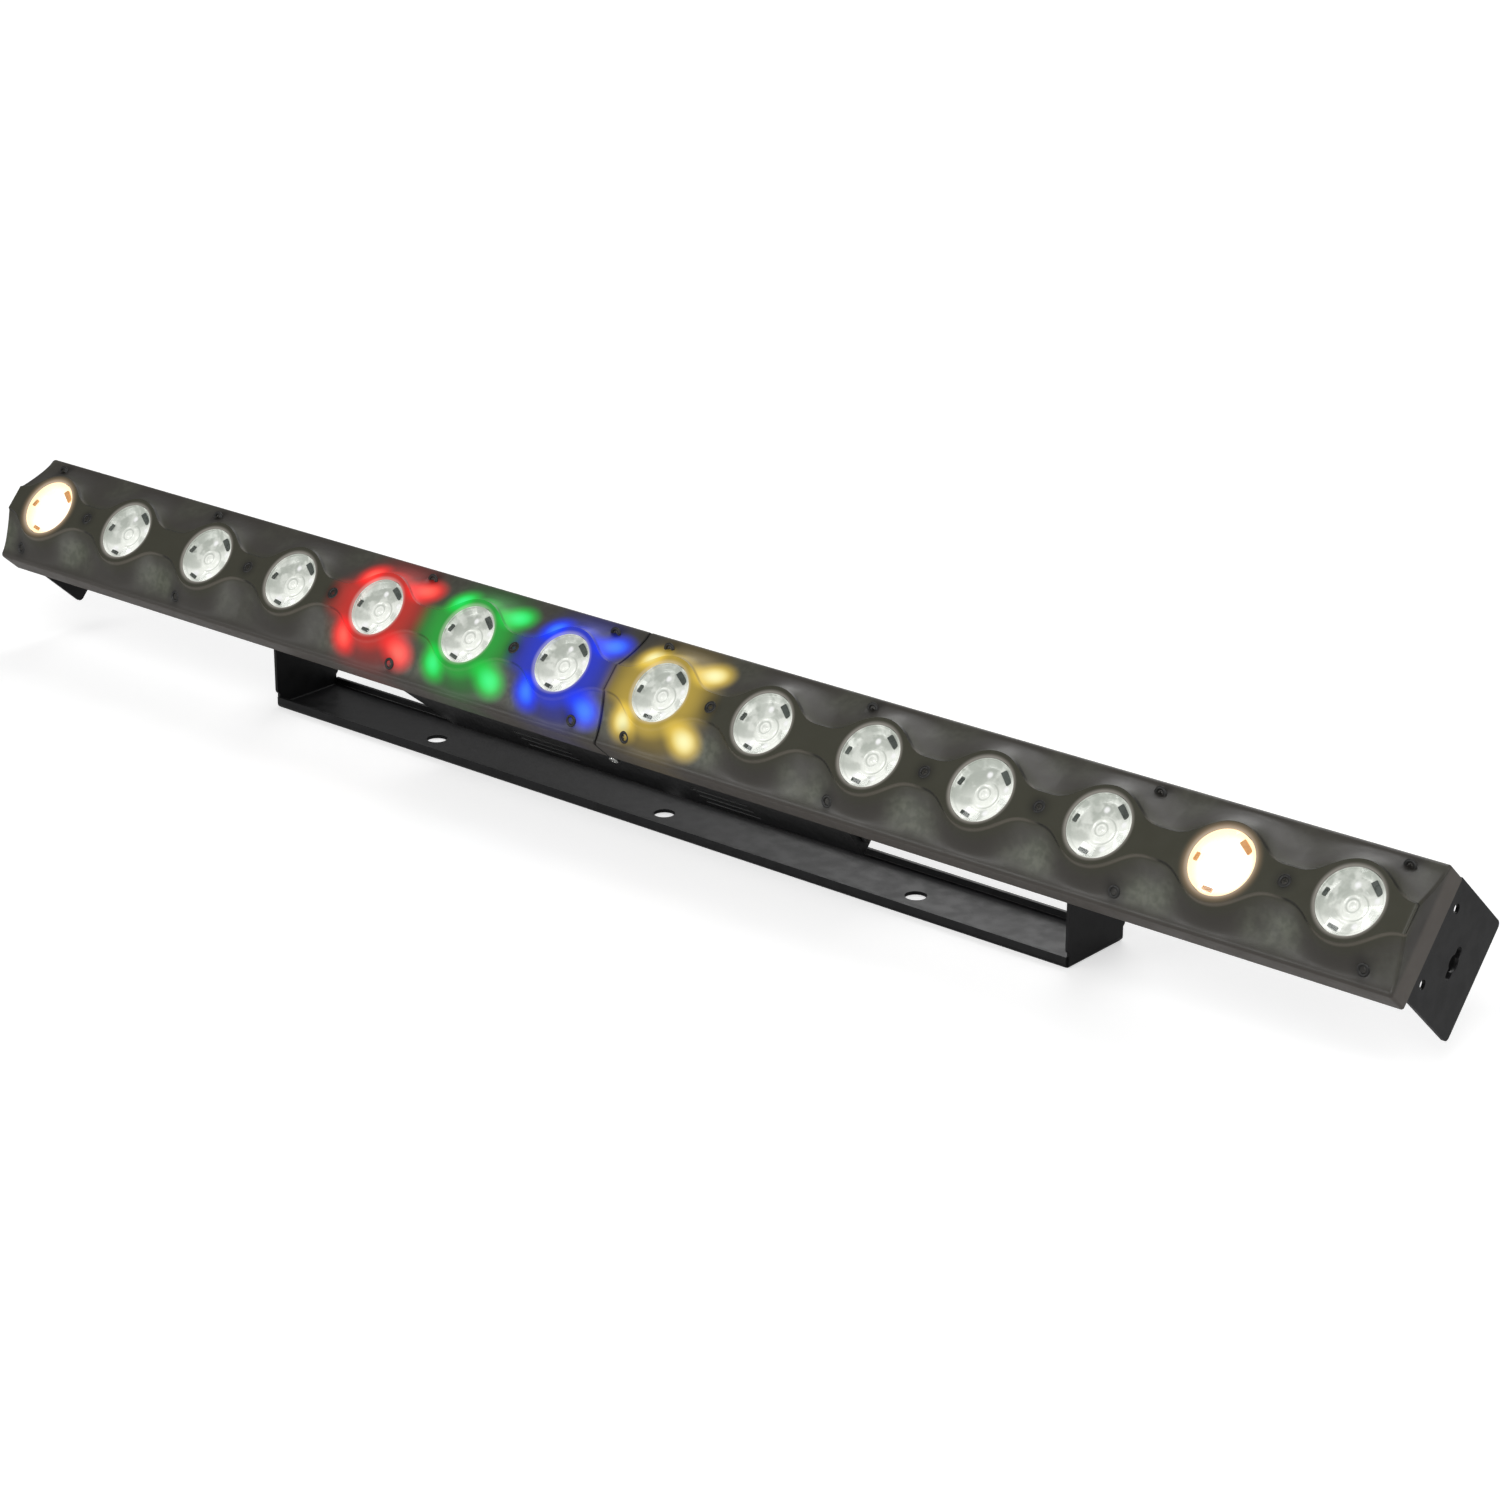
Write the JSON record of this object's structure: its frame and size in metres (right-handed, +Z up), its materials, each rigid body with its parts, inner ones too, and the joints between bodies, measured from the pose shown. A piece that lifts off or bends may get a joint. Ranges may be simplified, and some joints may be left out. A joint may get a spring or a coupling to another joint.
{
  "type": "led strip batten",
  "caption": "Long LED batten with round lenses in smoked moulded covers, tilting on a black folded steel floor bracket.",
  "frame": {"origin": "under the middle of the object's box at rest, on the surface the bracket stands on", "axes": "+X along the bar, -Y the side the lenses face, +Z up"},
  "size_m": [1, 0.1016, 0.1114],
  "materials": {
    "painted_steel": "satin",
    "smoked_cover": "satin",
    "clear_lens": "gloss",
    "led_package": "satin",
    "circuit_board": "satin",
    "supply_metal": "satin",
    "display_window": "gloss",
    "plated_steel": "gloss",
    "black_plastic": "satin"
  },
  "bodies": {
    "stand": {"floor_bracket": "painted_steel"},
    "bar": {"light_tray": "painted_steel", "cover_left": "smoked_cover", "cover_right": "smoked_cover", "electronics_box": "painted_steel", "display_window": "display_window", "control_board": "circuit_board", "power_supply": "supply_metal", "led_board_left": "circuit_board", "led_board_right": "circuit_board", "end_bracket_left": "painted_steel", "end_bracket_right": "painted_steel", "pivot_ear_left": "painted_steel", "pivot_ear_right": "painted_steel", "pivot_nut_left": "plated_steel", "pivot_nut_right": "plated_steel", "friction_washer_left": "black_plastic", "friction_washer_right": "black_plastic", "centre_screw_bottom": "plated_steel", "centre_screw_top": "plated_steel", "signal_in_socket": "black_plastic", "power_in_socket": "black_plastic", "signal_out_socket": "black_plastic", "power_out_socket": "black_plastic", "lens_01": "clear_lens", "lens_02": "clear_lens", "lens_03": "clear_lens", "lens_04": "clear_lens", "lens_05": "clear_lens", "lens_06": "clear_lens", "lens_07": "clear_lens", "lens_08": "clear_lens", "lens_09": "clear_lens", "lens_10": "clear_lens", "lens_11": "clear_lens", "lens_12": "clear_lens", "lens_13": "clear_lens", "lens_14": "clear_lens", "emitter_01": "led_package", "emitter_02": "led_package", "emitter_03": "led_package", "emitter_04": "led_package", "emitter_05": "led_package", "emitter_06": "led_package", "emitter_07": "led_package", "emitter_08": "led_package", "emitter_09": "led_package", "emitter_10": "led_package", "emitter_11": "led_package", "emitter_12": "led_package", "emitter_13": "led_package", "emitter_14": "led_package"},
    "knob_left": {"tilt_knob_left": "black_plastic"},
    "knob_right": {"tilt_knob_right": "black_plastic"},
    "menu_key_1": {"menu_button_1": "black_plastic"},
    "menu_key_2": {"menu_button_2": "black_plastic"},
    "menu_key_3": {"menu_button_3": "black_plastic"},
    "menu_key_4": {"menu_button_4": "black_plastic"}
  },
  "joints": [
    {"name": "tilt", "type": "hinge", "parent": "stand", "child": "bar", "pos_m": [0, 0.01111, 0.052], "axis": [1, 0, 0], "range_deg": [-145, 52]},
    {"name": "knob_left_turn", "type": "hinge", "parent": "bar", "child": "knob_left", "pos_m": [0, 0.01111, 0.052], "axis": [1, 0, 0], "continuous": true},
    {"name": "knob_right_turn", "type": "hinge", "parent": "bar", "child": "knob_right", "pos_m": [0, 0.01111, 0.052], "axis": [1, 0, 0], "continuous": true},
    {"name": "menu_key_1_press", "type": "slide", "parent": "bar", "child": "menu_key_1", "axis": [0, -0.7431, 0.6691], "range_m": [0, 0.001], "stiffness_N_per_m": 900},
    {"name": "menu_key_2_press", "type": "slide", "parent": "bar", "child": "menu_key_2", "axis": [0, -0.7431, 0.6691], "range_m": [0, 0.001], "stiffness_N_per_m": 900},
    {"name": "menu_key_3_press", "type": "slide", "parent": "bar", "child": "menu_key_3", "axis": [0, -0.7431, 0.6691], "range_m": [0, 0.001], "stiffness_N_per_m": 900},
    {"name": "menu_key_4_press", "type": "slide", "parent": "bar", "child": "menu_key_4", "axis": [0, -0.7431, 0.6691], "range_m": [0, 0.001], "stiffness_N_per_m": 900}
  ]
}
